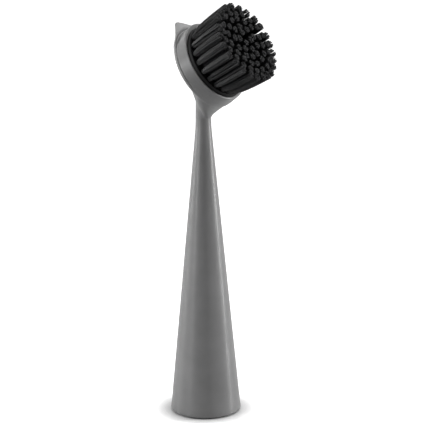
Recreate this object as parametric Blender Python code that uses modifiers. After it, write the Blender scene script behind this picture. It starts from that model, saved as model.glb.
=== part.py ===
"""A dish brush that stands on its own cone-shaped handle, with a push-fit head that pulls out.

The handle stands on the origin, +Z is up and the bristles look towards +X.
"""

import bmesh
import bpy
from math import cos, pi, radians, sin, sqrt, tan
from mathutils import Matrix, Vector

# Fits and mesh settings shared by the whole brush
FIT_GAP = 0.0003
CUT_OVERRUN = 0.002
MERGE_DISTANCE = 0.00001
SHARP_ANGLE = radians(35.0)

# Handle cone and neck
BASE_RADIUS = 0.0245
BASE_ROUNDING = 0.0012
NECK_RADIUS = 0.0054
NECK_HEIGHT = 0.212
NECK_BLEND_LENGTH = 0.011
HANDLE_SEGMENTS = 48
BASE_ARC_POINTS = 4
CONE_RINGS = 5
BLEND_RINGS = 4

# Hollow in the cone, open at the base
HOLLOW_WALL = 0.0022
HOLLOW_TIP_WALL = 0.0039
HOLLOW_END_BELOW_NECK = 0.027

# Head of the handle: a cup on a round back plate, its axis leaning up and forward
HEAD_LEAN = radians(55.0)
RIM_FORWARD = 0.0095
RIM_ABOVE_NECK = 0.0408
RIM_ROUNDING = 0.0018
CUP_RADIUS = 0.02915
CUP_WALL = 0.00235
CUP_DEPTH = 0.0055
GROOVE_FROM_RIM = 0.0077
GROOVE_WIDTH = 0.0008
GROOVE_DEPTH = 0.0007
PLATE_THICKNESS = 0.0020
PLATE_ROUNDING = 0.0006
CUP_SEGMENTS = 56
RIM_ARC_POINTS = 5

# Web that carries the cup on the neck, its arch in shares of the cup's radius
WEB_PROUD = 0.0002
WEB_ARCH_DROP_SHARE = 0.391
WEB_ARCH_HALF_WIDTH_SHARE = 0.823
WEB_ARCH_TOP_SHARE = 0.223
WEB_LEDGE_FADE = 0.0012
WEB_SINK_SHARE = 0.9
WEB_SINK_INSET = 0.0012
WEB_RINGS = 9
WEB_FRONT_START_PULL = 0.0056
WEB_FRONT_END_PULL = 0.0340
WEB_SIDE_START_PULL = 0.0228
WEB_SIDE_END_PULL = 0.0221
WEB_BACK_START_PULL = 0.0259
WEB_BACK_END_PULL = 0.0240
WEB_OUTWARD_SHARE = 0.42

# Scraper corner at the top of the back plate, a thin lip that curls back
SCRAPER_BEYOND_PLATE = 0.00975
SCRAPER_HALF_ANGLE = radians(52.7)
SCRAPER_TOUCH_ANGLE = radians(40.0)
SCRAPER_FROM_RIM = 0.0072
SCRAPER_THICKNESS = 0.0014
SCRAPER_TIP_ROUNDING = 0.002
SCRAPER_INSET = 0.00025
SCRAPER_SHOULDER_SHARE = 0.926
SCRAPER_CURL_START_SHARE = 0.85
SCRAPER_CURL_RADIUS = 0.0300
SCRAPER_FOOT_ACROSS_SHARE = 0.43
SCRAPER_FOOT_UP_SHARE = 0.285
SCRAPER_ROWS = 6
TIP_ARC_POINTS = 5

# Brush head: a black disc that stands a little proud of the cup's rim
DISC_PROUD = 0.0026
DISC_ROUNDING = 0.0005
DISC_LIP_WIDTH = 0.0009
SLICE_THICKNESS = 0.0009
DISC_SEGMENTS = 48

# Socket behind the cup and the split peg of the brush head that grips in it
SOCKET_RADIUS = 0.0048
SOCKET_END_CLEARANCE = 0.0006
PEG_LENGTH = 0.0045
PEG_WALL = 0.0019
PEG_SLOT_WIDTH = 0.0012
PEG_SLOT_DEPTH = 0.0030

# Tufts: rings of tufts, each tuft a bundle of strands that fans out towards the tips.
# Ring radii are shares of the recess's radius, and strand sizes shares of the step between the outer rings.
# A ring's first tuft stands a share of the ring's step round from the plate's lowest point.
TUFT_RING_SHARES = (0.924, 0.762, 0.590, 0.402, 0.230, 0.0)
TUFT_RING_COUNTS = (24, 20, 15, 10, 5, 1)
TUFT_FIRST_SHARES = (0.9, 0.0, 0.81, 0.64, 0.26, 0.0)
TUFT_NODES = {"outer": [0], "second": [1], "third": [2], "fourth": [3], "centre": [4, 5]}
TUFT_LENGTH = 0.0277
TUFT_FAN_SHARE = 1.12
TUFT_SPREAD_SHARE = 1.75
STRANDS_AROUND_TUFT = 5
STRAND_OFFSET_SHARE = 0.25
STRAND_RADIUS_SHARE = 0.115
STRAND_SIDES = 3
STRAND_SUNK = 0.0005
SLICE_SEGMENTS = 36

# Base cap, ballast and foot pad
CAP_SEAT_WALL = 0.0017
CAP_FLOOR_THICKNESS = 0.0015
CAP_RING_WALL = 0.0012
CAP_RING_RISE = 0.0006
CAP_BORDER = 0.0022
BALLAST_HEIGHT = 0.0080
BALLAST_CHAMFER = 0.0006
PAD_THICKNESS = 0.0018
PAD_PROUD = 0.0006
PAD_ROUNDING = 0.0003
BASE_SEGMENTS = 40

# Worked out from the sizes above
RIM_HEIGHT = NECK_HEIGHT + RIM_ABOVE_NECK
HEAD_PLACE = Matrix.Translation((RIM_FORWARD, 0, RIM_HEIGHT)) @ Matrix.Rotation(HEAD_LEAN, 4, "Y")
PLATE_BACK = GROOVE_FROM_RIM + GROOVE_WIDTH + PLATE_THICKNESS
CUP_BORE = CUP_RADIUS - CUP_WALL
DISC_RADIUS = CUP_BORE - FIT_GAP
DISC_DEPTH = CUP_DEPTH - FIT_GAP
SOCKET_BOTTOM = DISC_DEPTH + PEG_LENGTH + SOCKET_END_CLEARANCE
RECESS_RADIUS = DISC_RADIUS - DISC_LIP_WIDTH
RECESS_FLOOR = DISC_PROUD - SLICE_THICKNESS - FIT_GAP
TIPS = DISC_PROUD + TUFT_LENGTH
TUFT_RING_RADII = [RECESS_RADIUS * share for share in TUFT_RING_SHARES]
TUFT_PITCH = TUFT_RING_RADII[0] - TUFT_RING_RADII[1]
STRAND_OFFSET = TUFT_PITCH * STRAND_OFFSET_SHARE
STRAND_RADIUS = TUFT_PITCH * STRAND_RADIUS_SHARE
SCRAPER_REACH = CUP_RADIUS + SCRAPER_BEYOND_PLATE
SCRAPER_CURL_START = CUP_RADIUS * SCRAPER_CURL_START_SHARE
PAD_SEAT = PAD_THICKNESS + FIT_GAP
CAP_TOP = PAD_SEAT + CAP_FLOOR_THICKNESS
CAP_SEAT_TOP = CAP_TOP + FIT_GAP
CAP_SEAT_RADIUS = BASE_RADIUS - CAP_SEAT_WALL
CAP_RADIUS = CAP_SEAT_RADIUS - FIT_GAP
PAD_RADIUS = CAP_RADIUS - CAP_BORDER - FIT_GAP
HOLLOW_TOP = NECK_HEIGHT - HOLLOW_END_BELOW_NECK

PART_NAME = "dish_brush"
parts = None
cutters = None


def start_collections():
    """Empties the file and makes one collection for the parts and one for the cutters."""
    global parts, cutters
    for thing in list(bpy.data.objects):
        bpy.data.objects.remove(thing, do_unlink=True)
    parts = bpy.data.collections.new(PART_NAME)
    cutters = bpy.data.collections.new("cutters")
    for collection in (parts, cutters):
        bpy.context.scene.collection.children.link(collection)


def material(name, colour, roughness, metallic=0.0):
    """A plain Principled material."""
    made = bpy.data.materials.new(name)
    made.use_nodes = True
    shader = made.node_tree.nodes["Principled BSDF"]
    shader.inputs["Base Color"].default_value = (*colour, 1.0)
    shader.inputs["Roughness"].default_value = roughness
    shader.inputs["Metallic"].default_value = metallic
    made.diffuse_color = (*colour, 1.0)
    return made


def piece(name, mesh, finish=None):
    """Puts a mesh in the scene as a named part."""
    made = bpy.data.objects.new(name, mesh)
    if finish:
        mesh.materials.append(finish)
    parts.objects.link(made)
    return made


def guide(name, mesh):
    """Puts a mesh in the scene as a hidden tool for a Boolean."""
    made = bpy.data.objects.new(name, mesh)
    made.hide_render = True
    made.display_type = "WIRE"
    cutters.objects.link(made)
    return made


def mesh_from(bm, name):
    """Turns a bmesh into a mesh whose faces point out, shaded smooth but for its sharp edges."""
    bmesh.ops.recalc_face_normals(bm, faces=bm.faces)
    mesh = bpy.data.meshes.new(name)
    bm.to_mesh(mesh)
    bm.free()
    mesh.shade_smooth()
    mesh.set_sharp_from_angle(angle=SHARP_ANGLE)
    return mesh


def profile_mesh(name, profile):
    """A profile at +X, given as (radius, height) from top to bottom, ready to be turned."""
    mesh = bpy.data.meshes.new(name)
    edges = [(i, i + 1) for i in range(len(profile) - 1)]
    mesh.from_pydata([(r, 0, z) for r, z in profile], edges, [])
    return mesh


def spin(thing, segments):
    """Adds the Screw modifier that turns a profile round Z into a solid."""
    screw = thing.modifiers.new("turn", "SCREW")
    screw.axis = "Z"
    screw.angle = 2 * pi
    screw.steps = segments
    screw.render_steps = segments
    screw.use_merge_vertices = True
    screw.merge_threshold = MERGE_DISTANCE
    screw.use_smooth_shade = True


def turned_piece(name, profile, segments, finish, place=Matrix()):
    """A turned part."""
    made = piece(name, profile_mesh(name, profile), finish)
    spin(made, segments)
    made.matrix_world = place
    return made


def turned_guide(name, profile, segments, place=Matrix()):
    """A turned tool for a Boolean."""
    made = guide(name, profile_mesh(name, profile))
    spin(made, segments)
    made.matrix_world = place
    return made


def boolean(thing, tool, operation):
    """Cuts, or joins, one solid with another."""
    step = thing.modifiers.new(operation.lower() + "_" + tool.name, "BOOLEAN")
    step.operation = operation
    step.solver = "EXACT"
    step.object = tool


def arc(centre, radius, start, end, points):
    """Points along an arc in a plane, angles in radians."""
    turns = [start + (end - start) * i / (points - 1) for i in range(points)]
    return [(centre[0] + radius * cos(a), centre[1] + radius * sin(a)) for a in turns]


def loft_mesh(name, rings):
    """A closed solid through rings of points, from the lowest to the highest."""
    bm = bmesh.new()
    rows = [[bm.verts.new(point) for point in ring] for ring in rings]
    count = len(rows[0])
    for lower, upper in zip(rows, rows[1:]):
        for i in range(count):
            k = (i + 1) % count
            bm.faces.new((lower[i], lower[k], upper[k], upper[i]))
    bm.faces.new(list(reversed(rows[0])))
    bm.faces.new(rows[-1])
    return mesh_from(bm, name)


def cone_taper():
    """Radius that the straight cone loses for each metre of height."""
    straight = NECK_HEIGHT - NECK_BLEND_LENGTH
    return (BASE_RADIUS - NECK_RADIUS) / (straight + NECK_BLEND_LENGTH / 2)


def cone_radius(height):
    """Outer radius of the handle: a straight cone that eases into an upright neck."""
    straight = NECK_HEIGHT - NECK_BLEND_LENGTH
    if height <= straight:
        return BASE_RADIUS - cone_taper() * height
    left = min(1.0, (NECK_HEIGHT - height) / NECK_BLEND_LENGTH)
    return NECK_RADIUS + cone_taper() * NECK_BLEND_LENGTH * left * left / 2


def web_end_radius(turn):
    """Distance from the plate's centre to the web's edge, at a turn from the plate's lowest point.

    The edge follows the cup round its lower part, and an elliptical arch above it.
    """
    round_the_cup = CUP_RADIUS + WEB_PROUD
    drop = CUP_RADIUS * WEB_ARCH_DROP_SHARE
    half_width = CUP_RADIUS * WEB_ARCH_HALF_WIDTH_SHARE
    half_height = CUP_RADIUS * WEB_ARCH_TOP_SHARE + drop
    # where a ray from the plate's centre meets the ellipse, whose middle is lower by the drop
    across, up = sin(turn), -cos(turn)
    a = (across / half_width) ** 2 + (up / half_height) ** 2
    b = up * drop / half_height**2
    c = (drop / half_height) ** 2 - 1
    on_arch = (-b + sqrt(b * b - a * c)) / a
    return min(round_the_cup, on_arch)


def web_end_point(turn, behind_rim, inset=0.0):
    """A point of the web's edge, in the row's own frame."""
    radius = web_end_radius(turn) - inset
    return HEAD_PLACE @ Vector((radius * cos(turn), radius * sin(turn), -behind_rim))


def web_pull(front, side, back, turn):
    """A length that changes round the web, from its front through its sides to its back."""
    back_share = ((1 - cos(turn)) / 2) ** 2
    return front + (side - front) * side_share(turn) + (back - side) * side_share(turn) * back_share


def ledge_share(turn):
    """0 where the web runs into the cup's side, 1 where its edge lies well inside the plate."""
    return min(1.0, max(0.0, (CUP_RADIUS - web_end_radius(turn)) / WEB_LEDGE_FADE))


def side_share(turn):
    """How much of the web's side a turn from the front has: 0 in front, 1 at the side and behind."""
    return sin(turn) ** 2 if cos(turn) > 0 else 1.0


def web_ring(share):
    """One ring of the web: share 0 is on the neck, share 1 on the back of the plate."""
    head_turn = HEAD_PLACE.to_3x3()
    head_axis = head_turn @ Vector((0, 0, 1))
    upright = Vector((0, 0, 1))
    t = share
    points = []
    for i in range(HANDLE_SEGMENTS):
        turn = 2 * pi * i / HANDLE_SEGMENTS
        outward = head_turn @ Vector((cos(turn), sin(turn), 0))
        start = Vector((NECK_RADIUS * cos(turn), NECK_RADIUS * sin(turn), NECK_HEIGHT))
        end = web_end_point(turn, PLATE_BACK)
        leaving = upright * web_pull(WEB_FRONT_START_PULL, WEB_SIDE_START_PULL, WEB_BACK_START_PULL, turn)
        way_in = head_axis.lerp(outward, WEB_OUTWARD_SHARE * ledge_share(turn))
        way_in = way_in.lerp(upright, ((1 - cos(turn)) / 2) ** 2).normalized()
        arriving = way_in * web_pull(WEB_FRONT_END_PULL, WEB_SIDE_END_PULL, WEB_BACK_END_PULL, turn)
        points.append(
            start * (2 * t**3 - 3 * t**2 + 1)
            + leaving * (t**3 - 2 * t**2 + t)
            + end * (3 * t**2 - 2 * t**3)
            + arriving * (t**3 - t**2)
        )
    return points


def level_ring(radius, height):
    """A level ring of the handle."""
    turns = [2 * pi * i / HANDLE_SEGMENTS for i in range(HANDLE_SEGMENTS)]
    return [Vector((radius * cos(a), radius * sin(a), height)) for a in turns]


def handle_body_mesh():
    """Cone, neck and web in one loft."""
    rings = []
    rounding_centre = (BASE_RADIUS - BASE_ROUNDING, PAD_PROUD + BASE_ROUNDING)
    for radius, height in arc(rounding_centre, BASE_ROUNDING, -pi / 2, 0, BASE_ARC_POINTS):
        rings.append(level_ring(radius, height))
    straight = NECK_HEIGHT - NECK_BLEND_LENGTH
    for i in range(1, CONE_RINGS + 1):
        height = straight * i / CONE_RINGS
        rings.append(level_ring(cone_radius(height), height))
    for i in range(1, BLEND_RINGS):
        height = straight + NECK_BLEND_LENGTH * i / BLEND_RINGS
        rings.append(level_ring(cone_radius(height), height))
    for i in range(WEB_RINGS + 1):
        rings.append(web_ring(i / WEB_RINGS))
    turns = [2 * pi * i / HANDLE_SEGMENTS for i in range(HANDLE_SEGMENTS)]
    sunk_at = PLATE_BACK - (PLATE_BACK - CUP_DEPTH) * WEB_SINK_SHARE
    rings.append([web_end_point(a, sunk_at, WEB_SINK_INSET) for a in turns])
    return loft_mesh("handle", rings)


def cup_profile():
    """Outside of the cup, its groove and the back plate."""
    groove_top = -GROOVE_FROM_RIM
    groove_low = groove_top - GROOVE_WIDTH
    edge = arc((CUP_RADIUS - PLATE_ROUNDING, -PLATE_BACK + PLATE_ROUNDING), PLATE_ROUNDING, 0, -pi / 2, 3)
    rim = arc((CUP_RADIUS - RIM_ROUNDING, -RIM_ROUNDING), RIM_ROUNDING, pi / 2, 0, RIM_ARC_POINTS)
    return [
        (0, 0),
        *rim,
        (CUP_RADIUS, groove_top),
        (CUP_RADIUS - GROOVE_DEPTH, groove_top - GROOVE_WIDTH / 2),
        (CUP_RADIUS, groove_low),
        *edge,
        (0, -PLATE_BACK),
    ]


def scraper_outline():
    """Flat outline of the scraper corner: a rounded tip, and shoulders that run into the plate."""
    tip_up = SCRAPER_REACH - SCRAPER_TIP_ROUNDING / sin(SCRAPER_HALF_ANGLE)
    tip = arc((0, tip_up), SCRAPER_TIP_ROUNDING, pi / 2 - SCRAPER_HALF_ANGLE,
              pi / 2 + SCRAPER_HALF_ANGLE, TIP_ARC_POINTS)
    shoulder_up = CUP_RADIUS * SCRAPER_SHOULDER_SHARE
    shoulder_across = (SCRAPER_REACH - shoulder_up) * tan(SCRAPER_HALF_ANGLE)
    foot_across = CUP_RADIUS * SCRAPER_FOOT_ACROSS_SHARE
    foot_up = CUP_RADIUS * SCRAPER_FOOT_UP_SHARE
    touch_radius = CUP_RADIUS - SCRAPER_INSET
    touch_across = touch_radius * cos(SCRAPER_TOUCH_ANGLE)
    touch_up = touch_radius * sin(SCRAPER_TOUCH_ANGLE)
    return [
        (foot_across, foot_up),
        (touch_across, touch_up),
        (shoulder_across, shoulder_up),
        *tip,
        (-shoulder_across, shoulder_up),
        (-touch_across, touch_up),
        (-foot_across, foot_up),
    ]


def curl(up, depth):
    """Bends a point of the flat scraper back round the curl's axis."""
    past = up - SCRAPER_CURL_START
    if past <= 0:
        return up, depth
    turn = past / SCRAPER_CURL_RADIUS
    radius = SCRAPER_CURL_RADIUS + depth
    return SCRAPER_CURL_START + radius * sin(turn), radius * cos(turn) - SCRAPER_CURL_RADIUS


def scraper_mesh():
    """The scraper corner as a curled lip, in the cup's frame."""
    bm = bmesh.new()
    face = bm.faces.new([bm.verts.new((a, b, 0)) for a, b in scraper_outline()])
    grown = bmesh.ops.extrude_face_region(bm, geom=[face])
    lifted = [item for item in grown["geom"] if isinstance(item, bmesh.types.BMVert)]
    bmesh.ops.translate(bm, verts=lifted, vec=(0, 0, -SCRAPER_THICKNESS))
    for i in range(SCRAPER_ROWS):
        level = SCRAPER_CURL_START + (SCRAPER_REACH - SCRAPER_CURL_START) * i / SCRAPER_ROWS
        geometry = bm.verts[:] + bm.edges[:] + bm.faces[:]
        bmesh.ops.bisect_plane(bm, geom=geometry, plane_co=(0, level, 0), plane_no=(0, 1, 0))
    for vert in bm.verts:
        up, depth = curl(vert.co.y, vert.co.z)
        vert.co = Vector((-up, vert.co.x, depth - SCRAPER_FROM_RIM))
    return mesh_from(bm, "scraper")


def add_handle(finish):
    """Handle: cone, neck, web, cup, back plate and scraper in one moulding, hollow from below."""
    handle = piece("handle", handle_body_mesh(), finish)
    cup = turned_guide("cup_outside", cup_profile(), CUP_SEGMENTS, HEAD_PLACE)
    scraper = guide("scraper", scraper_mesh())
    scraper.matrix_world = HEAD_PLACE
    boolean(handle, cup, "UNION")
    boolean(handle, scraper, "UNION")

    bore = [
        (0, CUT_OVERRUN),
        (CUP_BORE, CUT_OVERRUN),
        (CUP_BORE, -CUP_DEPTH),
        (SOCKET_RADIUS, -CUP_DEPTH),
        (SOCKET_RADIUS, -SOCKET_BOTTOM),
        (0, -SOCKET_BOTTOM),
    ]
    boolean(handle, turned_guide("cup_inside", bore, DISC_SEGMENTS, HEAD_PLACE), "DIFFERENCE")

    hollow = [
        (0, HOLLOW_TOP),
        (hollow_radius(HOLLOW_TOP), HOLLOW_TOP),
        (hollow_radius(CAP_SEAT_TOP), CAP_SEAT_TOP),
        (CAP_SEAT_RADIUS, CAP_SEAT_TOP),
        (CAP_SEAT_RADIUS, -CUT_OVERRUN),
        (0, -CUT_OVERRUN),
    ]
    boolean(handle, turned_guide("hollow", hollow, BASE_SEGMENTS), "DIFFERENCE")
    return handle


def hollow_radius(height):
    """Radius of the cone's hollow, which narrows evenly to its blunt tip."""
    low = cone_radius(CAP_SEAT_TOP) - HOLLOW_WALL
    tip = cone_radius(HOLLOW_TOP) - HOLLOW_TIP_WALL
    up = (height - CAP_SEAT_TOP) / (HOLLOW_TOP - CAP_SEAT_TOP)
    return low + (tip - low) * up


def add_base(cap_finish, ballast_finish, pad_finish):
    """Cap that closes the cone, the ballast that it holds, and the pad that the brush stands on."""
    bottom = CAP_TOP + FIT_GAP
    top = bottom + BALLAST_HEIGHT
    ring_top = top + CAP_RING_RISE
    ring_outer = hollow_radius(ring_top) - FIT_GAP
    ring_bore = ring_outer - CAP_RING_WALL
    ballast_radius = ring_bore - FIT_GAP
    pad_bore = PAD_RADIUS + FIT_GAP
    turned_piece(
        "base_cap",
        [
            (0, CAP_TOP),
            (ring_bore, CAP_TOP),
            (ring_bore, ring_top),
            (ring_outer, ring_top),
            (ring_outer, CAP_TOP),
            (CAP_RADIUS, CAP_TOP),
            (CAP_RADIUS, PAD_PROUD),
            (pad_bore, PAD_PROUD),
            (pad_bore, PAD_SEAT),
            (0, PAD_SEAT),
        ],
        BASE_SEGMENTS,
        cap_finish,
    )

    turned_piece(
        "ballast_disc",
        [
            (0, top),
            (ballast_radius - BALLAST_CHAMFER, top),
            (ballast_radius, top - BALLAST_CHAMFER),
            (ballast_radius, bottom + BALLAST_CHAMFER),
            (ballast_radius - BALLAST_CHAMFER, bottom),
            (0, bottom),
        ],
        BASE_SEGMENTS,
        ballast_finish,
    )

    turned_piece(
        "foot_pad",
        [
            (0, PAD_THICKNESS),
            (PAD_RADIUS, PAD_THICKNESS),
            (PAD_RADIUS, PAD_ROUNDING),
            (PAD_RADIUS - PAD_ROUNDING, 0),
            (0, 0),
        ],
        BASE_SEGMENTS,
        pad_finish,
    )


def tuft_places(ring):
    """Places of a ring's tufts on the face of the disc, with the turn of each."""
    radius, count = TUFT_RING_RADII[ring], TUFT_RING_COUNTS[ring]
    turns = [2 * pi * (i + TUFT_FIRST_SHARES[ring]) / count for i in range(count)]
    return [(Vector((radius * cos(a), radius * sin(a), 0)), a) for a in turns]


def slice_edges(rings):
    """Inner and outer radius of the slice of backing that carries one or more rings of tufts."""
    first, last = rings[0], rings[-1]
    outer = RECESS_RADIUS - FIT_GAP
    if first > 0:
        outer = (TUFT_RING_RADII[first - 1] + TUFT_RING_RADII[first]) / 2 - FIT_GAP / 2
    if last == len(TUFT_RING_RADII) - 1:
        return 0.0, outer
    return (TUFT_RING_RADII[last] + TUFT_RING_RADII[last + 1]) / 2 + FIT_GAP / 2, outer


def strand_offsets():
    """Where the strands of a tuft stand round its middle."""
    around = [2 * pi * i / STRANDS_AROUND_TUFT for i in range(STRANDS_AROUND_TUFT)]
    ring = [Vector((STRAND_OFFSET * cos(a), STRAND_OFFSET * sin(a), 0)) for a in around]
    return [Vector((0, 0, 0)), *ring]


def add_strand(bm, root, tip):
    """One strand: a straight prism from its sunk root to its tip."""
    axis = tip - root
    place = Matrix.Translation((root + tip) / 2) @ axis.to_track_quat("Z", "Y").to_matrix().to_4x4()
    bmesh.ops.create_cone(
        bm,
        cap_ends=True,
        segments=STRAND_SIDES,
        radius1=STRAND_RADIUS,
        radius2=STRAND_RADIUS,
        depth=axis.length,
        matrix=place,
    )


def add_tufts(name, rings, finish):
    """One or more rings of tufts, their strands fused to a slice of the backing."""
    inner, outer = slice_edges(rings)
    face = DISC_PROUD
    low = face - SLICE_THICKNESS
    if inner > 0:
        profile = [(inner, face), (outer, face), (outer, low), (inner, low), (inner, face)]
    else:
        profile = [(0, face), (outer, face), (outer, low), (0, low)]
    backing = turned_piece(name, profile, SLICE_SEGMENTS, finish, HEAD_PLACE)

    bm = bmesh.new()
    for place, turn in [found for ring in rings for found in tuft_places(ring)]:
        spun = Matrix.Rotation(turn, 3, "Z")
        for offset in strand_offsets():
            turned = spun @ offset
            root = place + turned + Vector((0, 0, face - STRAND_SUNK))
            tip = place * TUFT_FAN_SHARE + turned * TUFT_SPREAD_SHARE + Vector((0, 0, TIPS))
            add_strand(bm, root, tip)
    strands = guide(name + "_strands", mesh_from(bm, name + "_strands"))
    strands.matrix_world = HEAD_PLACE
    boolean(backing, strands, "UNION")
    return backing


def add_disc(disc_finish):
    """The black disc that carries the tufts, with its split peg."""
    low = -DISC_DEPTH
    peg_radius = SOCKET_RADIUS - FIT_GAP
    peg_low = low - PEG_LENGTH
    peg_bore = peg_radius - PEG_WALL
    brim = DISC_RADIUS - DISC_ROUNDING
    disc = turned_piece(
        "brush_disc",
        [
            (0, RECESS_FLOOR),
            (RECESS_RADIUS, RECESS_FLOOR),
            (RECESS_RADIUS, DISC_PROUD),
            *arc((brim, DISC_PROUD - DISC_ROUNDING), DISC_ROUNDING, pi / 2, 0, 3),
            (DISC_RADIUS, low),
            (peg_radius, low),
            (peg_radius, peg_low),
            (peg_bore, peg_low),
            (peg_bore, low),
            (0, low),
        ],
        DISC_SEGMENTS,
        disc_finish,
        HEAD_PLACE,
    )

    slots = bmesh.new()
    for turn in (0, pi / 2):
        slot_height = PEG_SLOT_DEPTH + CUT_OVERRUN
        size = Matrix.Diagonal((2 * SOCKET_RADIUS, PEG_SLOT_WIDTH, slot_height, 1))
        middle = Matrix.Translation((0, 0, peg_low + PEG_SLOT_DEPTH - slot_height / 2))
        bmesh.ops.create_cube(slots, size=1, matrix=middle @ Matrix.Rotation(turn, 4, "Z") @ size)
    slot_tool = guide("peg_slots", mesh_from(slots, "peg_slots"))
    slot_tool.matrix_world = HEAD_PLACE
    boolean(disc, slot_tool, "DIFFERENCE")

    return disc


def build():
    """Makes the whole brush."""
    start_collections()
    grey = material("satin_grey_plastic", (0.21, 0.21, 0.21), 0.42)
    inner_grey = material("base_grey_plastic", (0.17, 0.17, 0.17), 0.5)
    black = material("black_plastic", (0.012, 0.012, 0.013), 0.4)
    nylon = material("grey_nylon", (0.014, 0.014, 0.015), 0.35)
    steel = material("ballast_steel", (0.45, 0.45, 0.46), 0.4, 1.0)
    rubber = material("foot_rubber", (0.03, 0.03, 0.03), 0.8)
    add_handle(grey)
    add_base(inner_grey, steel, rubber)
    add_disc(black)
    for name, rings in TUFT_NODES.items():
        add_tufts("tufts_" + name, rings, nylon)


build()
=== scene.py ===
"""Looks of the dish brush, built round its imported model: a fine moulded handle and real tufts."""

from math import cos, pi, radians, sin, sqrt

import bpy
import numpy as np
from mathutils import Matrix, Vector


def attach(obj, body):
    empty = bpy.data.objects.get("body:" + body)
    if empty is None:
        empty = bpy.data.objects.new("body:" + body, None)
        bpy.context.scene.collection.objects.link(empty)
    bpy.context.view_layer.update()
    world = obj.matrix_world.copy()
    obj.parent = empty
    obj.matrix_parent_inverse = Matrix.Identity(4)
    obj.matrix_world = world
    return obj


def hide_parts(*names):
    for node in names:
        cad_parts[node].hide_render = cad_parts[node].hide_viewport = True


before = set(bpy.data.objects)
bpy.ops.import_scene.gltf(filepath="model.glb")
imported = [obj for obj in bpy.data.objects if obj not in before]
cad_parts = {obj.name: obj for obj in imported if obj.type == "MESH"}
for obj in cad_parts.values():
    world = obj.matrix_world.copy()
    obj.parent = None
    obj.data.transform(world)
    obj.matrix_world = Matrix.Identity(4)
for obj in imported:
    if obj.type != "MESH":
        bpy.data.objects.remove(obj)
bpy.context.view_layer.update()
bpy.context.scene.view_settings.view_transform = "Standard"

# Rings round the handle: degrees between their points, and finer ones at the scraper's tip
COARSE_TURN = 1.5
FINE_TURN = 0.25
FINE_TURNS_EACH_WAY = 18
SHARP_ANGLE = radians(38.0)

# Handle cone and neck, in metres
FOOT_RISE = 0.0006
BASE_RADIUS = 0.0245
BASE_ROUNDING = 0.0012
NECK_RADIUS = 0.0054
NECK_HEIGHT = 0.212
NECK_BLEND_LENGTH = 0.011
CONE_RINGS = 40
BLEND_RINGS = 16
FOOT_ARC_POINTS = 8

# Hollow of the cone and the seat of its cap
HOLLOW_WALL = 0.0022
HOLLOW_TIP_WALL = 0.0039
HOLLOW_TOP = 0.185
CAP_SEAT_WALL = 0.0017
CAP_SEAT_TOP = 0.0039
FOOT_INNER_CHAMFER = 0.0002

# Head: a cup on a round back plate. Its rim swells under the scraper and leans a little to one side
HEAD_LEAN = radians(55.0)
RIM_FORWARD = 0.0095
RIM_HEIGHT = 0.2528
CUP_RADIUS = 0.02915
CUP_BORE = 0.02665
CUP_DEPTH = 0.0055
CUP_WALL_RINGS = 5
RIM_RADIUS = 0.0283
RIM_SWELL = 0.0016
RIM_SWELL_POWER = 3
RIM_LEAN = 0.0007
RIM_ROUNDING = 0.0006
RIM_INNER_ROUNDING = 0.0002
RIM_ARC_POINTS = 6
RIM_INNER_ARC_POINTS = 4
PLATE_FRONT = 0.00845
PLATE_BACK = 0.0105
PLATE_ROUNDING = 0.0006
PLATE_ROUNDING_SHARE = 0.4
PLATE_RINGS = 16
PLATE_EDGE_PARTS = 4
GROOVE_TOP = 0.00765
GROOVE_DEPTH = 0.0006
GROOVE_END = radians(66.0)
GROOVE_FADE = radians(12.0)
GROOVE_RINGS = 8
SOCKET_RADIUS = 0.0048
SOCKET_BOTTOM = 0.0105

# Web between neck and cup: its arch on the plate, and how it leaves the one and meets the other
ARCH_DROP = 0.0114
ARCH_HALF_WIDTH = 0.0240
ARCH_TOP = 0.0065
ARCH_BLEND = 0.002
LEDGE_FADE = 0.0012
LEDGE_START_SHARE = 0.3
LEDGE_ROUNDING = 0.00025
LEDGE_PARTS = 3
WEB_FILLET = 0.0026
WEB_FILLET_SHARE = 0.6
WEB_FILLET_RINGS = 7
WEB_FRONT_PULLS = (0.0056, 0.0340)
WEB_SIDE_PULLS = (0.0228, 0.0221)
WEB_BACK_PULLS = (0.0259, 0.0240)
WEB_OUTWARD_SHARE = 0.42
WEB_REACH_SHARE = 0.9
WEB_RINGS = 44

# Scraper corner at the top of the plate
SCRAPER_REACH = 0.0392
SCRAPER_HALF_ANGLE = radians(52.7)
SCRAPER_TIP_ROUNDING = 0.0044
SCRAPER_LINE_END = radians(30.0)
SCRAPER_TOUCH = radians(48.0)
SCRAPER_FRONT = 0.0072
SCRAPER_THICKNESS = 0.0010
SCRAPER_EDGE = 0.0003
SCRAPER_FILLET = 0.0016
SCRAPER_CREASE = 0.0009
SCRAPER_CURL_START = 0.0237
SCRAPER_CURL_RADIUS = 0.0278
SCRAPER_THIN_FROM = 0.02815
SCRAPER_THIN_OVER = 0.004
SCRAPER_FADE = 0.0024
SCRAPER_RINGS = 8

# Brush head
DISC_PROUD = 0.0026
DISC_RADIUS = 0.02658
DISC_ROUNDING = 0.0005
DISC_ARC_POINTS = 6
DISC_DEPTH = 0.0052
PEG_RADIUS = 0.0045
PEG_BORE = 0.0026
PEG_LENGTH = 0.0045
PEG_SLOT_WIDTH = 0.0012
PEG_SLOT_DEPTH = 0.0030
PEG_SLOT_LENGTH = 2.4 * PEG_RADIUS
CUTTER_OVERRUN = 0.001
DISC_SEGMENTS = 128

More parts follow.
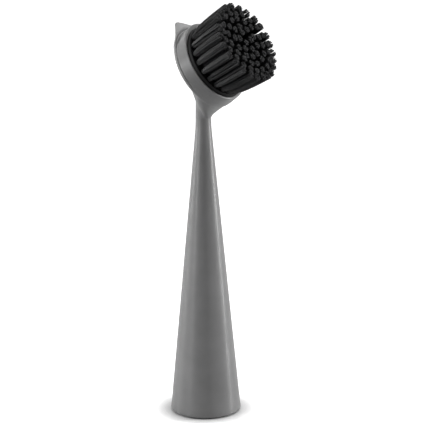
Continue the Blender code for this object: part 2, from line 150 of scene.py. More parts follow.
# Tufts: one entry a ring, from the outermost in
TUFT_RING_RADII = (0.02366, 0.0195, 0.0151, 0.0103, 0.0059, 0.0)
TUFT_RING_COUNTS = (24, 20, 15, 10, 5, 1)
TUFT_FIRST_SHARES = (0.14, 0.0, 0.81, 0.64, 0.26, 0.0)
TUFT_NODES = {"outer": [0], "second": [1], "third": [2], "fourth": [3], "centre": [4, 5]}
TUFT_CROWDING = (radians(6.0), 0.0, 0.0, 0.0, 0.0, 0.0)
TUFT_CROWDING_TURN = radians(118.0)
TUFT_LENGTH = 0.0282
TUFT_FAN_SHARE = 1.13
TUFT_ROOT_RADIUS = 0.0016
TUFT_TIP_OUTWARD = (0.0034, 0.0021, 0.0022, 0.0024, 0.0025, 0.0024)
TUFT_TIP_ROUND = (0.0029, 0.0026, 0.0027, 0.0027, 0.0027, 0.0024)
TUFT_LEAN = 0.0004
TUFT_QUICK_SHARE = 0.52
TUFT_QUICK_POWER = 6
TUFT_CLUMPS = 3
CLUMP_OFF_CENTRE = 0.56
CLUMP_TURN_SPREAD = 0.2
CLUMP_PINCH = 0.16
FILAMENTS = 66
FILAMENT_RADIUS = 0.0002
FILAMENT_SIDES = 5
FILAMENT_LEVELS = (0.0, 0.05, 0.12, 0.24, 0.45, 0.72, 1.0)
FILAMENT_BOW = 0.00022
FILAMENT_UNEVEN = 0.00035
FILAMENT_TURN_SPREAD = 0.12
FILAMENT_FLARE_SPREAD = 0.05
FILAMENT_SHARP_ANGLE = radians(60.0)
ROOT_SUNK = 0.0004
LUCK_SEED = 7

# Moulded plastic: scales of its noises, each a number of waves in a metre, and its bumps
NOISE_ROUGHNESS = 0.55
CLOUD_SCALE = 60.0
GLOSS_SCALE = 420.0
GLOSS_SPREAD = 0.03
WAVE_SCALE = 130.0
WAVE_STRENGTH = 0.06
WAVE_HEIGHT = 0.0002
GRAIN_SCALE = 5200.0
GRAIN_HEIGHT = 0.00003

# Nylon, from the darkest filaments to the lightest, and the painted highlight on its cut ends
NYLON_DARK = (0.017, 0.017, 0.0175)
NYLON_LIGHT = (0.030, 0.030, 0.031)
NYLON_SHADE_SPAN = (0.2, 0.8)
# Painted highlight: the paler colour of the cut ends, and how far up the filament it starts
NYLON_TIP_HIGHLIGHT = (0.040, 0.040, 0.0415)
NYLON_TIP_HIGHLIGHT_SPAN = (0.93, 1.0)
NYLON_SPECULAR = 0.2
NYLON_ROUGHNESS = (0.34, 0.46)
NYLON_GLOSS_SCALE = 900.0
NYLON_GRAIN_SCALE = 2600.0
NYLON_GRAIN_STRENGTH = 0.2
NYLON_GRAIN_HEIGHT = 0.00003

# Turned steel
STEEL_GREYS = (0.42, 0.5)
STEEL_GREY_SCALE = 300.0
STEEL_ROUGHNESS = (0.3, 0.45)
STEEL_GLOSS_SCALE = 900.0
STEEL_GRAIN_SCALE = 3000.0
STEEL_GRAIN_STRENGTH = 0.2
STEEL_GRAIN_HEIGHT = 0.00005

# Soft boxes: name, azimuth, elevation, width and height in metres, and watts
LAMP_AIM_HEIGHT = 0.15
LAMP_DISTANCE = 1.2
SIDE_ELEVATION = radians(10)
SIDE_BOX = (0.16, 0.9)
TOP_BOX = (0.5, 0.5)
LAMPS = (
    ("left_back_box", radians(-195), SIDE_ELEVATION, SIDE_BOX, 2.4),
    ("left_side_box", radians(-165), SIDE_ELEVATION, SIDE_BOX, 5.8),
    ("left_near_box", radians(-150), SIDE_ELEVATION, SIDE_BOX, 2.7),
    ("left_front_box", radians(-120), SIDE_ELEVATION, SIDE_BOX, 5.5),
    ("right_side_box", radians(35), SIDE_ELEVATION, SIDE_BOX, 14.6),
    ("top_back_box", radians(75), radians(50), TOP_BOX, 3.4),
    ("overhead_box", radians(-10), radians(72), TOP_BOX, 3.8),
)

# Camera, fitted to the photograph: lens and sensor in millimetres, place in metres
CAMERA_LENS = 306.77
CAMERA_SENSOR = 36.0
CAMERA_FAR_END = 20.0
CAMERA_PLACE = (1.194866, -2.070153, 0.877264)
CAMERA_TURNS = (radians(72.95842), radians(0.46370), radians(29.72985))

# Floor: a pale plane, white to the eye but for a painted shade close round the brush's foot
FLOOR_SIZE = 12.0
FLOOR_COLOUR = 0.64
FLOOR_ROUGHNESS = 0.35
FLOOR_SPECULAR = 0.3
FLOOR_LIFT = 0.80
# Painted shade round the foot: how far it reaches, how steeply it deepens, and its samples
FLOOR_PAINTED_SHADE_REACH = 0.015
FLOOR_PAINTED_SHADE_POWER = 3.8
FLOOR_PAINTED_SHADE_SAMPLES = 16

HEAD_PLACE = Matrix.Translation((RIM_FORWARD, 0, RIM_HEIGHT)) @ Matrix.Rotation(HEAD_LEAN, 4, "Y")


def turn_list():
    """Turns round the handle, closer together where the scraper's tip needs them."""
    coarse = [radians(COARSE_TURN * i) for i in range(round(360 / COARSE_TURN))]
    fine = [pi + radians(FINE_TURN * i) for i in range(-FINE_TURNS_EACH_WAY, FINE_TURNS_EACH_WAY + 1)]
    fine_reach = radians(FINE_TURN * (FINE_TURNS_EACH_WAY + 1))
    kept = [a for a in coarse if abs(a - pi) > fine_reach]
    return np.array(sorted(kept + fine))


TURNS = turn_list()


def smoothstep(value):
    """0 to 1 with level ends."""
    value = np.clip(value, 0, 1)
    return value * value * (3 - 2 * value)


def to_world(points):
    """Points of the head's own frame, in the row's frame."""
    matrix = np.array(HEAD_PLACE)
    return points @ matrix[:3, :3].T + matrix[:3, 3]


def level_ring(radius, height):
    """A level ring round the handle's axis."""
    return np.stack([radius * np.cos(TURNS), radius * np.sin(TURNS), np.full(len(TURNS), height)], 1)


def head_ring(radius, height):
    """A ring round the head's axis. The radius and height may change with the turn."""
    radius = np.broadcast_to(radius, TURNS.shape)
    height = np.broadcast_to(height, TURNS.shape)
    return to_world(np.stack([radius * np.cos(TURNS), radius * np.sin(TURNS), height], 1))


def arc(centre, radius, start, end, points):
    """Points along an arc in a plane, angles in radians."""
    turns = [start + (end - start) * i / (points - 1) for i in range(points)]
    return [(centre[0] + radius * cos(a), centre[1] + radius * sin(a)) for a in turns]


def cone_radius(height):
    """Outer radius of the handle: a straight cone that eases into an upright neck."""
    straight = NECK_HEIGHT - NECK_BLEND_LENGTH
    taper = (BASE_RADIUS - NECK_RADIUS) / (straight + NECK_BLEND_LENGTH / 2)
    if height <= straight:
        return BASE_RADIUS - taper * height
    left = min(1.0, (NECK_HEIGHT - height) / NECK_BLEND_LENGTH)
    return NECK_RADIUS + taper * NECK_BLEND_LENGTH * left * left / 2


def web_end_radius():
    """Distance of the web's edge from the plate's centre at each turn."""
    height = ARCH_TOP + ARCH_DROP
    across, up = np.sin(TURNS), -np.cos(TURNS)
    a = (across / ARCH_HALF_WIDTH) ** 2 + (up / height) ** 2
    b = up * ARCH_DROP / height**2
    c = (ARCH_DROP / height) ** 2 - 1
    on_arch = (-b + np.sqrt(b * b - a * c)) / a
    near = np.clip(1 - np.abs(on_arch - CUP_RADIUS) / ARCH_BLEND, 0, 1)
    return np.minimum(on_arch, CUP_RADIUS) - near**2 * ARCH_BLEND / 4


WEB_END = web_end_radius()
LEDGE_SHARE = smoothstep((CUP_RADIUS - WEB_END) / LEDGE_FADE - LEDGE_START_SHARE)


def scraper_edge_radius():
    """Distance of the plate's edge from its centre at each turn, with the scraper's corner in it."""
    off = np.abs(TURNS - pi)
    to_line = SCRAPER_REACH * sin(SCRAPER_HALF_ANGLE)
    on_line = to_line / np.sin(off + SCRAPER_HALF_ANGLE)
    centre = SCRAPER_REACH - SCRAPER_TIP_ROUNDING / sin(SCRAPER_HALF_ANGLE)
    tangent = centre + SCRAPER_TIP_ROUNDING * sin(SCRAPER_HALF_ANGLE)
    tip_turn = SCRAPER_TIP_ROUNDING * cos(SCRAPER_HALF_ANGLE) / tangent
    inside = np.maximum(SCRAPER_TIP_ROUNDING**2 - (centre * np.sin(off)) ** 2, 0)
    on_tip = centre * np.cos(off) + np.sqrt(inside)
    span = SCRAPER_TOUCH - SCRAPER_LINE_END
    t = np.clip((off - SCRAPER_LINE_END) / span, 0, 1)
    shoulder_start = to_line / sin(SCRAPER_LINE_END + SCRAPER_HALF_ANGLE)
    turn_of_line = SCRAPER_LINE_END + SCRAPER_HALF_ANGLE
    slope = -to_line * cos(turn_of_line) / sin(turn_of_line) ** 2
    shoulder = (
        shoulder_start * (2 * t**3 - 3 * t**2 + 1)
        + slope * span * (t**3 - 2 * t**2 + t)
        + CUP_RADIUS * (3 * t**2 - 2 * t**3)
    )
    edge = np.where(off < SCRAPER_LINE_END, on_line, shoulder)
    edge = np.where(off < tip_turn, on_tip, edge)
    return np.where(off > SCRAPER_TOUCH, CUP_RADIUS, edge)


EDGE = scraper_edge_radius()
RIM_SWELLING = RIM_SWELL * np.maximum(-np.cos(TURNS), 0) ** RIM_SWELL_POWER
RIM_EDGE = RIM_RADIUS + RIM_SWELLING + RIM_LEAN * np.sin(TURNS)
GROOVE_SHARE = smoothstep((pi - np.abs(TURNS - pi) - GROOVE_END) / GROOVE_FADE)
LIP_SHARE = smoothstep((EDGE - CUP_RADIUS) / SCRAPER_FADE)


def plate_ring(radius, depth):
    """A ring of the plate or the lip, curled back past the curl's start."""
    up = -radius * np.cos(TURNS)
    past = np.maximum(up - SCRAPER_CURL_START, 0) / SCRAPER_CURL_RADIUS
    arm = SCRAPER_CURL_RADIUS - (depth - SCRAPER_FRONT)
    curled_up = np.where(past > 0, SCRAPER_CURL_START + arm * np.sin(past), up)
    curled_depth = np.where(past > 0, SCRAPER_FRONT + SCRAPER_CURL_RADIUS - arm * np.cos(past), depth)
    across = radius * np.sin(TURNS)
    return to_world(np.stack([-curled_up, across, -curled_depth], 1))


def web_pulls(which):
    """How hard the web's lines leave the neck, or arrive at the plate, at each turn."""
    front, side, back = WEB_FRONT_PULLS[which], WEB_SIDE_PULLS[which], WEB_BACK_PULLS[which]
    to_side = np.where(np.cos(TURNS) > 0, np.sin(TURNS) ** 2, 1.0)
    to_back = ((1 - np.cos(TURNS)) / 2) ** 2
    return (front + (side - front) * to_side + (back - side) * to_side * to_back)[:, None]


def web_rings():
    """Rings of the web, from the neck to just short of the plate, and its fillet on the plate."""
    turn_part = np.array(HEAD_PLACE)[:3, :3]
    head_axis = turn_part @ np.array([0, 0, 1.0])
    upright = np.array([0, 0, 1.0])
    outward = np.stack([np.cos(TURNS), np.sin(TURNS), np.zeros(len(TURNS))], 1) @ turn_part.T
    start = level_ring(NECK_RADIUS, NECK_HEIGHT)
    end = head_ring(WEB_END, -PLATE_BACK)
    share = (WEB_OUTWARD_SHARE * LEDGE_SHARE)[:, None]
    way_in = head_axis * (1 - share) + outward * share
    to_back = (((1 - np.cos(TURNS)) / 2) ** 2)[:, None]
    way_in = way_in * (1 - to_back) + upright * to_back
    way_in /= np.linalg.norm(way_in, axis=1)[:, None]
    leaving = upright * web_pulls(0)
    arriving = way_in * web_pulls(1)

    def at(t):
        return (
            start * (2 * t**3 - 3 * t**2 + 1)
            + leaving * (t**3 - 2 * t**2 + t)
            + end * (3 * t**2 - 2 * t**3)
            + arriving * (t**3 - t**2)
        )

    rings = [at(WEB_REACH_SHARE * i / WEB_RINGS) for i in range(1, WEB_RINGS + 1)]
    reach = np.minimum(WEB_FILLET, (EDGE - WEB_END) * WEB_FILLET_SHARE)
    corner_to = head_ring(WEB_END + reach, -PLATE_BACK)
    for i in range(1, WEB_FILLET_RINGS + 1):
        t = i / WEB_FILLET_RINGS
        rings.append(at(WEB_REACH_SHARE) * (1 - t) ** 2 + end * 2 * t * (1 - t) + corner_to * t**2)
    return rings, WEB_END + reach


def plate_back(radius):
    """Depth of the plate's back at a distance from its centre: it thins towards the scraper's edge."""
    thin = smoothstep((radius - SCRAPER_THIN_FROM) / SCRAPER_THIN_OVER) * LIP_SHARE
    return PLATE_BACK + (SCRAPER_FRONT + SCRAPER_THICKNESS - PLATE_BACK) * thin


def quarter_turns(parts, first):
    """Turns of an edge's rounding over a quarter circle, from its first part."""
    return [pi / 2 * i / parts for i in range(first, parts + 1)]


def plate_rings(start):
    """Rings over the plate's back, round its edge, down the lip's front and along the groove."""
    rounding = np.minimum(PLATE_ROUNDING, (EDGE - WEB_END) * PLATE_ROUNDING_SHARE)
    rounding = rounding * (1 - LIP_SHARE) + SCRAPER_EDGE * LIP_SHARE
    front = PLATE_FRONT + (SCRAPER_FRONT - PLATE_FRONT) * LIP_SHARE
    rings = []
    flat_end = EDGE - rounding
    for i in range(1, PLATE_RINGS + 1):
        radius = start + (flat_end - start) * i / PLATE_RINGS
        rings.append(plate_ring(radius, plate_back(radius)))
    edge_back = plate_back(EDGE)
    for a in quarter_turns(PLATE_EDGE_PARTS, 1):
        rings.append(plate_ring(flat_end + rounding * sin(a), edge_back - rounding * (1 - cos(a))))
    ledge = LEDGE_ROUNDING * LEDGE_SHARE
    for a in quarter_turns(LEDGE_PARTS, 0):
        rings.append(plate_ring(EDGE - ledge * (1 - cos(a)), front + ledge * (1 - sin(a))))
    lip_start = EDGE - ledge
    fillet = SCRAPER_FILLET * LIP_SHARE
    lip_end = np.minimum(CUP_RADIUS + fillet, lip_start)
    for i in range(1, SCRAPER_RINGS + 1):
        rings.append(plate_ring(lip_start + (lip_end - lip_start) * i / SCRAPER_RINGS, front))
    groove = GROOVE_DEPTH * GROOVE_SHARE * LEDGE_SHARE
    crease = SCRAPER_CREASE * LIP_SHARE
    for i in range(1, GROOVE_RINGS + 1):
        share = i / GROOVE_RINGS
        rise = (PLATE_FRONT - GROOVE_TOP) * (1 - LIP_SHARE) * share
        radius = CUP_RADIUS + fillet * (1 - sin(share * pi / 2)) - groove * sin(pi * share) ** 0.5
        depth = front - rise - fillet * (1 - cos(share * pi / 2)) + crease * sin(share * pi)
        curled = plate_ring(radius, depth)
        rings.append(curled + (head_ring(radius, -depth) - curled) * share**2)
    return rings


def handle_rings():
    """Every ring of the handle, from the tip of its hollow, round its foot, to the bottom of its socket."""
    low = cone_radius(CAP_SEAT_TOP) - HOLLOW_WALL
    tip = cone_radius(HOLLOW_TOP) - HOLLOW_TIP_WALL
    seat = BASE_RADIUS - CAP_SEAT_WALL
    rings = [level_ring(tip, HOLLOW_TOP), level_ring(low, CAP_SEAT_TOP), level_ring(seat, CAP_SEAT_TOP)]
    rings.append(level_ring(seat, FOOT_RISE + FOOT_INNER_CHAMFER))
    rings.append(level_ring(seat + FOOT_INNER_CHAMFER, FOOT_RISE))
    centre = (BASE_RADIUS - BASE_ROUNDING, FOOT_RISE + BASE_ROUNDING)
    rings += [level_ring(r, z) for r, z in arc(centre, BASE_ROUNDING, -pi / 2, 0, FOOT_ARC_POINTS)]
    straight = NECK_HEIGHT - NECK_BLEND_LENGTH
    first = FOOT_RISE + BASE_ROUNDING
    for i in range(1, CONE_RINGS + 1):
        height = first + (straight - first) * i / CONE_RINGS
        rings.append(level_ring(cone_radius(height), height))
    for i in range(1, BLEND_RINGS + 1):
        height = straight + NECK_BLEND_LENGTH * i / BLEND_RINGS
        rings.append(level_ring(cone_radius(height), height))
    web, reached = web_rings()
    rings += web
    rings += plate_rings(reached)
    wall_foot = GROOVE_TOP + (SCRAPER_FRONT - SCRAPER_FILLET - GROOVE_TOP) * LIP_SHARE
    for i in range(1, CUP_WALL_RINGS + 1):
        share = i / CUP_WALL_RINGS
        level = -wall_foot + (wall_foot - RIM_ROUNDING) * share
        rings.append(head_ring(CUP_RADIUS + (RIM_EDGE - CUP_RADIUS) * share, level))
    centre = (RIM_EDGE - RIM_ROUNDING, -RIM_ROUNDING)
    rings += [head_ring(r, z) for r, z in arc(centre, RIM_ROUNDING, 0, pi / 2, RIM_ARC_POINTS)[1:]]
    centre = (CUP_BORE + RIM_INNER_ROUNDING, -RIM_INNER_ROUNDING)
    inner = arc(centre, RIM_INNER_ROUNDING, pi / 2, pi, RIM_INNER_ARC_POINTS)
    rings += [head_ring(r, z) for r, z in inner]
    rings.append(head_ring(CUP_BORE, -CUP_DEPTH))
    rings.append(head_ring(SOCKET_RADIUS, -CUP_DEPTH))
    rings.append(head_ring(SOCKET_RADIUS, -SOCKET_BOTTOM))
    return rings


def loft(name, rings):
    """A closed mesh through rings of equal counts."""
    count = len(rings[0])
    points = np.concatenate(rings)
    faces = []
    for k in range(len(rings) - 1):
        low, high = k * count, (k + 1) * count
        for i in range(count):
            j = (i + 1) % count
            faces.append((low + i, low + j, high + j, high + i))
    faces.append(tuple(range(count - 1, -1, -1)))
    faces.append(tuple((len(rings) - 1) * count + i for i in range(count)))
    return shown(name, points, faces)


def shown(name, points, faces, sharp=SHARP_ANGLE):
    """A mesh object with smooth faces and its sharp edges kept."""
    mesh = bpy.data.meshes.new(name)
    mesh.from_pydata([tuple(p) for p in points], [], faces)
    mesh.validate()
    mesh.shade_smooth()
    mesh.set_sharp_from_angle(angle=sharp)
    made = bpy.data.objects.new(name, mesh)
    bpy.context.scene.collection.objects.link(made)
    return made


def turned(name, profile, segments):
    """A closed turned mesh in the head's frame, from (radius, height) points that run from axis to axis."""
    points, rows = [], []
    for radius, height in profile:
        if radius == 0:
            rows.append([len(points)] * segments)
            points.append((0, 0, height))
        else:
            rows.append(list(range(len(points), len(points) + segments)))
            for i in range(segments):
                a = 2 * pi * i / segments
                points.append((radius * cos(a), radius * sin(a), height))
    faces = []
    for low, high in zip(rows, rows[1:]):
        for i in range(segments):
            j = (i + 1) % segments
            corners = [low[i], low[j], high[j], high[i]]
            face = [c for k, c in enumerate(corners) if c != corners[k - 1]]
            faces.append(face)
    return shown(name, to_world(np.array(points, float)), faces)


def make_disc():
    """The black disc with its split peg."""
    peg_low = -DISC_DEPTH - PEG_LENGTH
    centre = (DISC_RADIUS - DISC_ROUNDING, DISC_PROUD - DISC_ROUNDING)
    profile = [
        (0, peg_low),
        (PEG_RADIUS, peg_low),
        (PEG_RADIUS, -DISC_DEPTH),
        (DISC_RADIUS, -DISC_DEPTH),
        *arc(centre, DISC_ROUNDING, 0, pi / 2, DISC_ARC_POINTS),
        (0, DISC_PROUD),
    ]
    disc = turned("brush_disc_shown", profile, DISC_SEGMENTS)
    below = peg_low - CUTTER_OVERRUN
    bore = [(0, below), (PEG_BORE, below), (PEG_BORE, -DISC_DEPTH), (0, -DISC_DEPTH)]
    cutters = [turned("peg_hollow", bore, DISC_SEGMENTS // 2)]
    for turn in (0, pi / 2):
        bpy.ops.mesh.primitive_cube_add(size=1)
        slot = bpy.context.object
        height = PEG_SLOT_DEPTH + CUTTER_OVERRUN
        middle = Matrix.Translation((0, 0, peg_low + PEG_SLOT_DEPTH - height / 2))
        size = Matrix.Diagonal((PEG_SLOT_LENGTH, PEG_SLOT_WIDTH, height, 1))
        slot.data.transform(HEAD_PLACE @ middle @ Matrix.Rotation(turn, 4, "Z") @ size)
        cutters.append(slot)
    for cutter in cutters:
        cut(disc, cutter)
    disc.data.set_sharp_from_angle(angle=SHARP_ANGLE)
    return disc


def cut(thing, cutter):
    """Takes one solid out of another for good."""
    step = thing.modifiers.new("cut", "BOOLEAN")
    step.operation = "DIFFERENCE"
    step.object = cutter
    bpy.context.view_layer.objects.active = thing
    bpy.ops.object.modifier_apply(modifier=step.name)
    bpy.data.objects.remove(cutter, do_unlink=True)


def filament_spots():
    """Places of the filaments over a tuft's round section, evenly spread, as shares of its radius."""
    golden = pi * (3 - sqrt(5))
    return [(sqrt((i + 0.5) / FILAMENTS), i * golden) for i in range(FILAMENTS)]


def tuft_places(rings):
    """Each tuft of some rings: its ring and its turn round the head's axis."""
    places = []
    for ring in rings:
        for i in range(TUFT_RING_COUNTS[ring]):
            turn = 2 * pi * (i + TUFT_FIRST_SHARES[ring]) / TUFT_RING_COUNTS[ring]
            places.append((ring, turn - TUFT_CROWDING[ring] * cos(turn - TUFT_CROWDING_TURN)))
    return places


def pinched(spot, clumps):
    """A place in a tuft's section, drawn towards the nearest of its clumps."""
    nearest = min(clumps, key=lambda clump: np.sum((clump - spot) ** 2))
    return spot + (nearest - spot) * CLUMP_PINCH


def tuft_clumps(luck):
    """Centres of the clumps that a tuft's tip parts into, as shares of its radius."""
    first = luck.random() * 2 * pi
    clumps = []
    for k in range(TUFT_CLUMPS):
        a = first + 2 * pi * k / TUFT_CLUMPS + luck.normal(0, CLUMP_TURN_SPREAD)
        clumps.append(np.array([cos(a), sin(a)]) * CLUMP_OFF_CENTRE)
    return clumps


def filament_path(root, sideways, luck, share):
    """Points up a filament's middle, from its sunk foot to its cut end: it flares at first, then runs on."""
    foot = DISC_PROUD - ROOT_SUNK
    top = DISC_PROUD + TUFT_LENGTH + luck.normal(0, FILAMENT_UNEVEN / 2) - share**2 * FILAMENT_UNEVEN
    bow = np.append(luck.normal(0, FILAMENT_BOW, 2), 0)
    path = []
    for t in FILAMENT_LEVELS:
        quick = 1 - (1 - t) ** TUFT_QUICK_POWER
        moved = sideways * (TUFT_QUICK_SHARE * quick + (1 - TUFT_QUICK_SHARE) * t)
        rise = np.array([0, 0, foot + (top - foot) * t])
        path.append(root + moved + rise + bow * 4 * t * (1 - t))
    return path


def filament_faces(first):
    """Faces of a filament whose points start at an index: its sides and its cut end."""
    faces = []
    levels = len(FILAMENT_LEVELS)
    for k in range(levels - 1):
        low = first + k * FILAMENT_SIDES
        high = low + FILAMENT_SIDES
        for side in range(FILAMENT_SIDES):
            nxt = (side + 1) % FILAMENT_SIDES
            faces.append((low + side, low + nxt, high + nxt, high + side))
    last = first + (levels - 1) * FILAMENT_SIDES
    faces.append(tuple(last + side for side in range(FILAMENT_SIDES)))
    return faces


def make_tufts(name, rings, luck):
    """One node's tufts, each a bundle of fine filaments that flares from its hole to a cut end."""
    around = np.arange(FILAMENT_SIDES) * 2 * pi / FILAMENT_SIDES
    section = np.stack([np.cos(around), np.sin(around), np.zeros(FILAMENT_SIDES)], 1) * FILAMENT_RADIUS
    points, faces, shades = [], [], []
    for ring, a in tuft_places(rings):
        outward, across = np.array([cos(a), sin(a), 0]), np.array([-sin(a), cos(a), 0])
        middle = outward * TUFT_RING_RADII[ring]
        lean = np.append(luck.normal(0, TUFT_LEAN, 2), 0)
        clumps = tuft_clumps(luck)
        tuft_shade = luck.random()
        for share, turn in filament_spots():
            turn += luck.normal(0, FILAMENT_TURN_SPREAD)
            spot = np.array([cos(turn), sin(turn)]) * share
            root = middle + (outward * spot[0] + across * spot[1]) * TUFT_ROOT_RADIUS
            out_way, round_way = pinched(spot, clumps) * (TUFT_TIP_OUTWARD[ring], TUFT_TIP_ROUND[ring])
            flare = 1 + luck.normal(0, FILAMENT_FLARE_SPREAD)
            spread = (outward * out_way + across * round_way) * flare
            sideways = middle * TUFT_FAN_SHARE + spread + lean - root
            faces += filament_faces(len(points))
            for place in filament_path(root, sideways, luck, share):
                points.extend(place + section)
            shades.append((tuft_shade, luck.random()))
    whole = to_world(np.array(points))
    made = shown("tufts_" + name + "_filaments", whole, faces, FILAMENT_SHARP_ANGLE)
    paint_filaments(made, shades)
    return made


def paint_filaments(made, shades):
    """Keeps how far up each filament a point lies, and a shade of its own, in the mesh's UV map."""
    mesh = made.data
    layer = mesh.uv_layers.new(name="filament")
    corners = np.zeros(len(mesh.loops), int)
    mesh.loops.foreach_get("vertex_index", corners)
    each = len(FILAMENT_LEVELS) * FILAMENT_SIDES
    height = np.array(FILAMENT_LEVELS)[(corners % each) // FILAMENT_SIDES]
    shade = np.array(shades)[corners // each]
    mixed = (shade[:, 0] + shade[:, 1]) / 2
    layer.data.foreach_set("uv", np.stack([mixed, height], 1).ravel())


def new_material(name):
    """An empty node material with a Principled shader."""
    made = bpy.data.materials.new(name)
    made.use_nodes = True
    return made, made.node_tree.nodes, made.node_tree.links, made.node_tree.nodes["Principled BSDF"]


def noise(nodes, links, scale, detail=3.0):
    """Noise in the row's own metres."""
    place = nodes.new("ShaderNodeTexCoord")
    made = nodes.new("ShaderNodeTexNoise")
    made.inputs["Scale"].default_value = scale
    made.inputs["Detail"].default_value = detail
    made.inputs["Roughness"].default_value = NOISE_ROUGHNESS
    links.new(place.outputs["Object"], made.inputs["Vector"])
    return made.outputs["Fac"]


def ramp(nodes, links, value, low, high, at=(0.35, 0.65)):
    """A number or colour that runs from low to high as the value passes between two places."""
    made = nodes.new("ShaderNodeValToRGB")
    made.color_ramp.elements[0].position = at[0]
    made.color_ramp.elements[1].position = at[1]
    for element, colour in zip(made.color_ramp.elements, (low, high)):
        element.color = (*colour, 1) if isinstance(colour, tuple) else (colour, colour, colour, 1)
    links.new(value, made.inputs["Fac"])
    return made.outputs["Color"]


def bump(nodes, links, shader, layers):
    """Stacks bumps: each layer is (height, strength, distance)."""
    before = None
    for height, strength, distance in layers:
        made = nodes.new("ShaderNodeBump")
        made.inputs["Strength"].default_value = strength
        made.inputs["Distance"].default_value = distance
        links.new(height, made.inputs["Height"])
        if before:
            links.new(before, made.inputs["Normal"])
        before = made.outputs["Normal"]
    links.new(before, shader.inputs["Normal"])


def moulded_plastic(name, low, high, roughness, grain=0.25, specular=0.5):
    """Satin moulded plastic: fine grain, faint clouding of its colour and its gloss."""
    made, nodes, links, shader = new_material(name)
    shader.inputs["Specular IOR Level"].default_value = specular
    clouds = noise(nodes, links, CLOUD_SCALE)
    links.new(ramp(nodes, links, clouds, low, high), shader.inputs["Base Color"])
    gloss = noise(nodes, links, GLOSS_SCALE, 4.0)
    dull, shiny = roughness + GLOSS_SPREAD, roughness - GLOSS_SPREAD
    links.new(ramp(nodes, links, gloss, shiny, dull), shader.inputs["Roughness"])
    fine = noise(nodes, links, GRAIN_SCALE, 2.0)
    wavy = noise(nodes, links, WAVE_SCALE, 1.0)
    bump(nodes, links, shader, [(wavy, WAVE_STRENGTH, WAVE_HEIGHT), (fine, grain, GRAIN_HEIGHT)])
    return made


def filament_material():
    """Dark nylon filaments with a sheen along them, and a painted highlight that makes their cut ends paler.
    """
    made, nodes, links, shader = new_material("grey_nylon")
    shader.inputs["Specular IOR Level"].default_value = NYLON_SPECULAR
    uv = nodes.new("ShaderNodeUVMap")
    uv.uv_map = "filament"
    split = nodes.new("ShaderNodeSeparateXYZ")
    links.new(uv.outputs["UV"], split.inputs["Vector"])
    shade = ramp(nodes, links, split.outputs["X"], NYLON_DARK, NYLON_LIGHT, NYLON_SHADE_SPAN)
    # Painted highlight: the top of each filament and its cut end are made paler than its sides
    tip = ramp(nodes, links, split.outputs["Y"], 0.0, 1.0, NYLON_TIP_HIGHLIGHT_SPAN)
    mix = nodes.new("ShaderNodeMix")
    mix.data_type = "RGBA"
    mix.inputs["B"].default_value = (*NYLON_TIP_HIGHLIGHT, 1)
    links.new(tip, mix.inputs["Factor"])
    links.new(shade, mix.inputs["A"])
    links.new(mix.outputs["Result"], shader.inputs["Base Color"])
    gloss = noise(nodes, links, NYLON_GLOSS_SCALE, 2.0)
    links.new(ramp(nodes, links, gloss, *NYLON_ROUGHNESS), shader.inputs["Roughness"])
    grain = noise(nodes, links, NYLON_GRAIN_SCALE, 1.0)
    bump(nodes, links, shader, [(grain, NYLON_GRAIN_STRENGTH, NYLON_GRAIN_HEIGHT)])
    return made


def steel_material():
    """Turned steel of the ballast."""
    made, nodes, links, shader = new_material("ballast_steel")
    shader.inputs["Metallic"].default_value = 1.0
    clouds = noise(nodes, links, STEEL_GREY_SCALE)
    links.new(ramp(nodes, links, clouds, *STEEL_GREYS), shader.inputs["Base Color"])
    gloss = noise(nodes, links, STEEL_GLOSS_SCALE)
    links.new(ramp(nodes, links, gloss, *STEEL_ROUGHNESS), shader.inputs["Roughness"])
    grain = noise(nodes, links, STEEL_GRAIN_SCALE)
    bump(nodes, links, shader, [(grain, STEEL_GRAIN_STRENGTH, STEEL_GRAIN_HEIGHT)])
    return made


def dress(thing, finish):
    """Gives an object one material."""
    thing.data.materials.clear()
    thing.data.materials.append(finish)


def studio_lamp(name, azimuth, elevation, box, watts):
    """A soft box that faces the brush."""
    data = bpy.data.lights.new(name, "AREA")
    data.shape = "RECTANGLE"
    data.size, data.size_y = box
    data.energy = watts
    lamp = bpy.data.objects.new(name, data)
    way = Vector((cos(azimuth) * cos(elevation), sin(azimuth) * cos(elevation), sin(elevation)))
    lamp.location = Vector((0, 0, LAMP_AIM_HEIGHT)) + way * LAMP_DISTANCE
    lamp.rotation_mode = "QUATERNION"
    lamp.rotation_quaternion = (-way).to_track_quat("-Z", "Y")
    bpy.context.scene.collection.objects.link(lamp)


def make_camera():
    """The camera at the photograph's place."""
    data = bpy.data.cameras.new("camera")
    data.lens = CAMERA_LENS
    data.sensor_width = CAMERA_SENSOR
    data.clip_end = CAMERA_FAR_END
    camera = bpy.data.objects.new("camera", data)
    camera.location = CAMERA_PLACE
    camera.rotation_euler = CAMERA_TURNS
    bpy.context.scene.collection.objects.link(camera)
    bpy.context.scene.camera = camera


def math_node(nodes, links, operation, first, second):
    """A Math node between two numbers, each a socket or a plain value."""
    made = nodes.new("ShaderNodeMath")
    made.operation = operation
    for socket, value in zip(made.inputs, (first, second)):
        if isinstance(value, (int, float)):
            socket.default_value = value
        else:
            links.new(value, socket)
    return made.outputs[0]


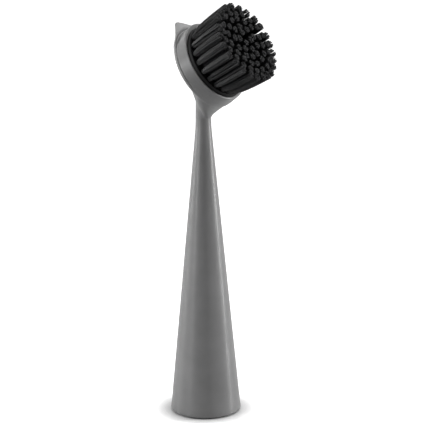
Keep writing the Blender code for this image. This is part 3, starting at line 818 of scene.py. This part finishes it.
def make_floor():
    """A pale floor that is plain white to the eye but for a painted shade, from ambient occlusion, where the
    brush stands on it.
    """
    bpy.ops.mesh.primitive_plane_add(size=FLOOR_SIZE)
    floor = bpy.context.object
    floor.name = "floor"
    made, nodes, links, shader = new_material("white_floor")
    shader.inputs["Base Color"].default_value = (FLOOR_COLOUR, FLOOR_COLOUR, FLOOR_COLOUR, 1)
    shader.inputs["Roughness"].default_value = FLOOR_ROUGHNESS
    shader.inputs["Specular IOR Level"].default_value = FLOOR_SPECULAR
    path = nodes.new("ShaderNodeLightPath")
    # Painted shade: ambient occlusion dims the floor's white glow close round the brush's foot, as a contact
    # shadow
    near = nodes.new("ShaderNodeAmbientOcclusion")
    near.samples = FLOOR_PAINTED_SHADE_SAMPLES
    near.inputs["Distance"].default_value = FLOOR_PAINTED_SHADE_REACH
    shade = math_node(nodes, links, "POWER", near.outputs["AO"], FLOOR_PAINTED_SHADE_POWER)
    shaded_lift = math_node(nodes, links, "MULTIPLY", shade, FLOOR_LIFT)
    lift = math_node(nodes, links, "MULTIPLY", path.outputs["Is Camera Ray"], shaded_lift)
    links.new(lift, shader.inputs["Emission Strength"])
    shader.inputs["Emission Color"].default_value = (1, 1, 1, 1)
    dress(floor, made)


def make_world():
    """White to the eye and in reflections, and no light otherwise."""
    world = bpy.data.worlds.new("studio")
    bpy.context.scene.world = world
    world.use_nodes = True
    nodes, links = world.node_tree.nodes, world.node_tree.links
    background = nodes["Background"]
    path = nodes.new("ShaderNodeLightPath")
    seen = path.outputs["Is Camera Ray"]
    for kind in ("Is Glossy Ray", "Is Transmission Ray"):
        seen = math_node(nodes, links, "MAXIMUM", seen, path.outputs[kind])
    background.inputs["Color"].default_value = (1, 1, 1, 1)
    links.new(seen, background.inputs["Strength"])


# Moulded finishes: darkest and lightest colour, and roughness
grey = moulded_plastic("satin_grey_plastic", (0.195, 0.195, 0.196), (0.215, 0.215, 0.216), 0.35)
base_grey = moulded_plastic("base_grey_plastic", (0.16, 0.16, 0.16), (0.18, 0.18, 0.18), 0.52)
black = moulded_plastic("black_plastic", (0.003, 0.003, 0.0032), (0.005, 0.005, 0.0053), 0.55, specular=0.15)
rubber = moulded_plastic("foot_rubber", (0.025, 0.025, 0.025), (0.035, 0.035, 0.035), 0.8, grain=0.5)
nylon = filament_material()

# Pieces

handle = loft("handle_moulding", handle_rings())
dress(handle, grey)
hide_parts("handle")
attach(handle, "handle_body")

disc = make_disc()
dress(disc, black)
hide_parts("brush_disc")
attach(disc, "brush_head")

luck = np.random.default_rng(LUCK_SEED)
for name, rings in TUFT_NODES.items():
    tufts = make_tufts(name, rings, luck)
    dress(tufts, nylon)
    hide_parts("tufts_" + name)
    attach(tufts, "brush_head")

dress(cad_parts["base_cap"], base_grey)
dress(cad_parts["ballast_disc"], steel_material())
dress(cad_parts["foot_pad"], rubber)

make_camera()
make_floor()
make_world()
for lamp in LAMPS:
    studio_lamp(*lamp)
